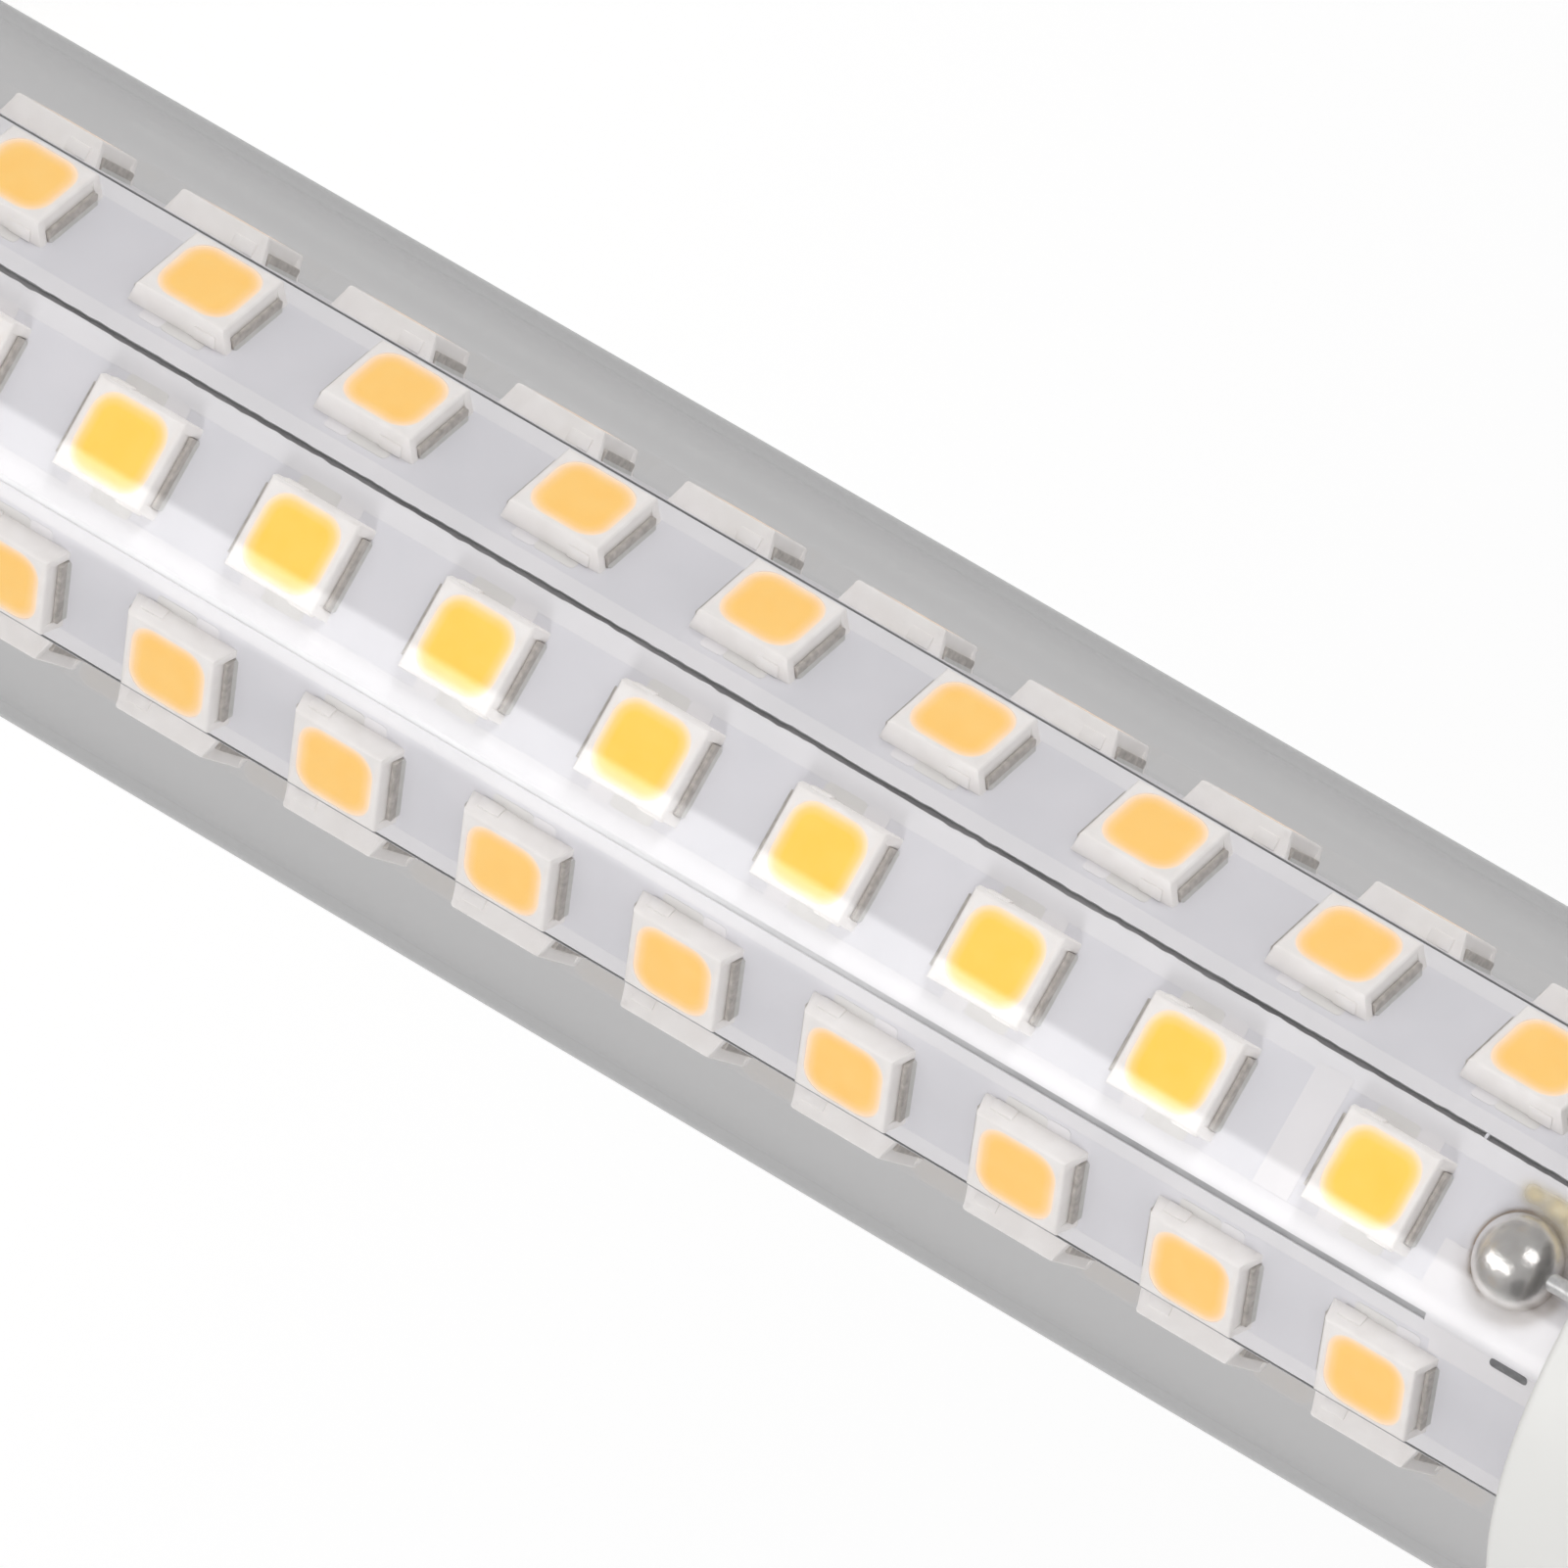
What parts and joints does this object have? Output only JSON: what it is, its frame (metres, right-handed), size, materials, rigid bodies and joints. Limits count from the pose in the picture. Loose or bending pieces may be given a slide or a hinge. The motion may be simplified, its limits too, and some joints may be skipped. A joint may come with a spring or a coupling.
{
  "type": "led corn bulb",
  "caption": "Slim LED corn bulb: a clear tube over a faceted white board column with rows of yellow-windowed LED packages, a white base housing and a small screw cap.",
  "frame": {"origin": "on the bulb's axis, in the plane of the screw shell's mouth", "axes": "+Z runs along the axis out of the cap, so the clear tube hangs below; -Y looks out of the face of the LED column that carries the negative pad"},
  "size_m": [0.018, 0.018, 0.1132],
  "materials": {
    "housing_plastic": "off-white moulded plastic",
    "cap_metal": "nickel-plated drawn brass",
    "cap_insulator": "black moulded insulator",
    "contact_metal": "nickel-plated brass",
    "tube_clear": "clear polished plastic",
    "board_white": "white solder mask on aluminium",
    "led_body": "white moulded package",
    "led_phosphor": "yellow phosphor in clear resin",
    "led_terminal": "tinned metal with solder",
    "solder": "shiny solder",
    "tinned_wire": "tinned copper wire",
    "support_plastic": "white moulded plastic",
    "driver_board": "glass-fibre board",
    "capacitor_sleeve": "dark shrink sleeve",
    "package_black": "black moulded package"
  },
  "bodies": {
    "root": {"base_housing": "housing_plastic", "bridge_rectifier": "package_black", "cap_insulator": "cap_insulator", "centre_contact": "contact_metal", "clear_tube": "tube_clear", "column_holder": "support_plastic", "driver_board": "driver_board", "driver_chip": "package_black", "led_board": "board_white", "led_bodies_face_1": "led_body", "led_bodies_face_2": "led_body", "led_bodies_face_3": "led_body", "led_bodies_face_4": "led_body", "led_bodies_face_5": "led_body", "led_bodies_face_6": "led_body", "led_bodies_face_7": "led_body", "led_bodies_face_8": "led_body", "led_phosphor_face_1": "led_phosphor", "led_phosphor_face_2": "led_phosphor", "led_phosphor_face_3": "led_phosphor", "led_phosphor_face_4": "led_phosphor", "led_phosphor_face_5": "led_phosphor", "led_phosphor_face_6": "led_phosphor", "led_phosphor_face_7": "led_phosphor", "led_phosphor_face_8": "led_phosphor", "led_terminals_face_1": "led_terminal", "led_terminals_face_2": "led_terminal", "led_terminals_face_3": "led_terminal", "led_terminals_face_4": "led_terminal", "led_terminals_face_5": "led_terminal", "led_terminals_face_6": "led_terminal", "led_terminals_face_7": "led_terminal", "led_terminals_face_8": "led_terminal", "live_lead": "tinned_wire", "negative_lead": "tinned_wire", "negative_solder": "solder", "neutral_lead": "tinned_wire", "positive_lead": "tinned_wire", "positive_solder": "solder", "screw_shell": "cap_metal", "sense_resistors": "package_black", "smoothing_capacitor": "capacitor_sleeve", "tip_spacer": "support_plastic"}
  },
  "joints": []
}
